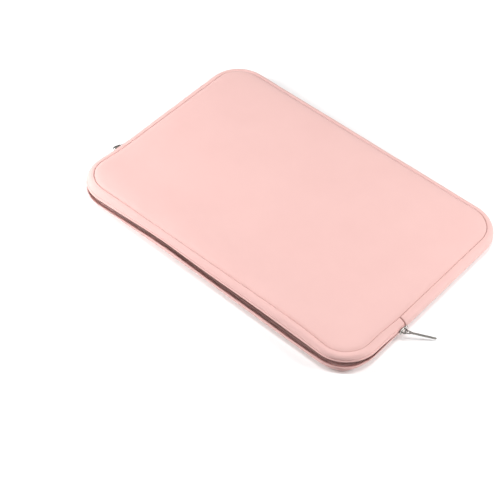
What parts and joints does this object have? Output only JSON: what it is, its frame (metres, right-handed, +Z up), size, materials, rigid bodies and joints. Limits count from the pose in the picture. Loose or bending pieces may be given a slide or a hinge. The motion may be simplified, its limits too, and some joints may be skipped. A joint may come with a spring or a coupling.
{
  "type": "laptop sleeve",
  "caption": "Padded fabric laptop sleeve lying flat, with a rounded edge, a zipped mouth standing a little open, and a metal slider and pull at each side.",
  "frame": {"origin": "middle of the underside, where the sleeve lies on its surface", "axes": "+X along the long side towards the viewer's right, -Y out of the mouth, +Z up"},
  "size_m": [0.3945, 0.2504, 0.0249],
  "materials": {
    "outer_fabric": "smooth matt pale pink knit laminated to foam",
    "foam": "closed-cell foam padding",
    "lining": "soft brushed lining",
    "zip_tape": "woven tape",
    "zip_coil": "moulded coil",
    "seam_binding": "woven binding",
    "slider_metal": "plated zinc",
    "pull_metal": "plated flat metal"
  },
  "bodies": {
    "sleeve": {"bottom_outer_skin": "outer_fabric", "bottom_foam": "foam", "bottom_lining": "lining", "top_outer_skin_rear": "outer_fabric", "top_foam_rear": "foam", "top_lining_rear": "lining", "gusset_outer_skin": "outer_fabric", "gusset_foam": "foam", "gusset_lining": "lining", "lower_lip_skin": "outer_fabric", "lower_lip_foam": "foam", "lower_lip_lining": "lining", "lower_zip_tape": "zip_tape", "lower_zip_coil": "zip_coil", "lower_seam_binding": "seam_binding", "upper_seam_binding_rear": "seam_binding"},
    "mouth_flap": {"top_outer_skin_flap": "outer_fabric", "top_foam_flap": "foam", "top_lining_flap": "lining", "upper_lip_skin": "outer_fabric", "upper_lip_foam": "foam", "upper_lip_lining": "lining", "upper_zip_tape": "zip_tape", "upper_zip_coil": "zip_coil", "upper_seam_binding_flap": "seam_binding"},
    "right_slider": {"right_slider_body": "slider_metal", "right_slider_bridge": "slider_metal"},
    "left_slider": {"left_slider_body": "slider_metal", "left_slider_bridge": "slider_metal"},
    "right_pull": {"right_pull_tab": "pull_metal"},
    "left_pull": {"left_pull_tab": "pull_metal"}
  },
  "joints": [
    {"name": "mouth_open", "type": "hinge", "parent": "sleeve", "child": "mouth_flap", "pos_m": [0, -0.0435, 0.02], "axis": [-1, 0, 0], "range_deg": [-4.6, 40]},
    {"name": "right_slider_travel", "type": "slide", "parent": "sleeve", "child": "right_slider", "axis": [0, -1, 0], "range_m": [0, 0.0355]},
    {"name": "left_slider_travel", "type": "slide", "parent": "sleeve", "child": "left_slider", "axis": [0, -1, 0], "range_m": [-0.01, 0.0255]},
    {"name": "right_pull_swing", "type": "hinge", "parent": "right_slider", "child": "right_pull", "pos_m": [0.18345, -0.0485, 0.0094], "axis": [0, 0, 1], "range_deg": [-122.5, 49.5]},
    {"name": "left_pull_swing", "type": "hinge", "parent": "left_slider", "child": "left_pull", "pos_m": [-0.18345, -0.0585, 0.0094], "axis": [0, 0, -1], "range_deg": [-180, 0]}
  ]
}
